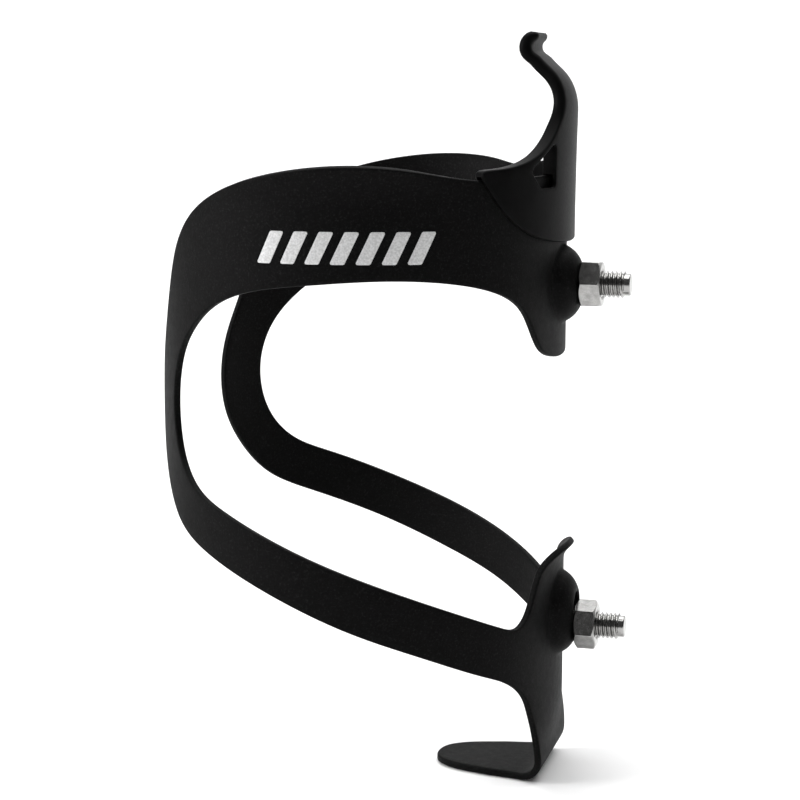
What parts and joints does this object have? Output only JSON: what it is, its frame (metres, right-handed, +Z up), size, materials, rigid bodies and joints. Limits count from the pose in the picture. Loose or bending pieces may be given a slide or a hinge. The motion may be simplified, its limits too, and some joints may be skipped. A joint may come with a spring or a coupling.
{
  "type": "water bottle cage",
  "caption": "Bent sheet bottle cage with two side arms, a foot, a moulded retaining clip and two bolts with nuts for a bicycle frame.",
  "frame": {"origin": "on the bottle's axis, midway between the two mounting bolts", "axes": "+X from the bottle to the bicycle frame, along the bolts; +Z up along the bottle; +Y to the side, and the cage is mirrored across Y = 0"},
  "size_m": [0.085, 0.0786, 0.1375],
  "materials": {
    "coated_sheet": "matt black powder coat with a fine texture",
    "clip_plastic": "moulded black plastic, slightly glossier than the sheet",
    "bright_steel": "bright zinc plated steel"
  },
  "bodies": {
    "cage": {"cage_body": "coated_sheet", "retaining_clip": "clip_plastic"},
    "upper_bolt": {"upper_bolt": "bright_steel"},
    "upper_nut": {"upper_nut": "bright_steel"},
    "lower_bolt": {"lower_bolt": "bright_steel"},
    "lower_nut": {"lower_nut": "bright_steel"}
  },
  "joints": [
    {"name": "upper_bolt_turn", "type": "hinge", "parent": "cage", "child": "upper_bolt", "pos_m": [0.0395, 0, 0.032], "axis": [-1, 0, 0], "range_deg": [0, 3960]},
    {"name": "upper_nut_travel", "type": "slide", "parent": "cage", "child": "upper_nut", "axis": [1, 0, 0], "range_m": [0, 0.0088]},
    {"name": "lower_bolt_turn", "type": "hinge", "parent": "cage", "child": "lower_bolt", "pos_m": [0.0395, 0, -0.032], "axis": [-1, 0, 0], "range_deg": [0, 3960]},
    {"name": "lower_nut_travel", "type": "slide", "parent": "cage", "child": "lower_nut", "axis": [1, 0, 0], "range_m": [0, 0.0088]}
  ],
  "couplings": [
    {"joint": "upper_bolt_turn", "follows": "upper_nut_travel", "rad_per_m": 7854},
    {"joint": "lower_bolt_turn", "follows": "lower_nut_travel", "rad_per_m": 7854}
  ]
}
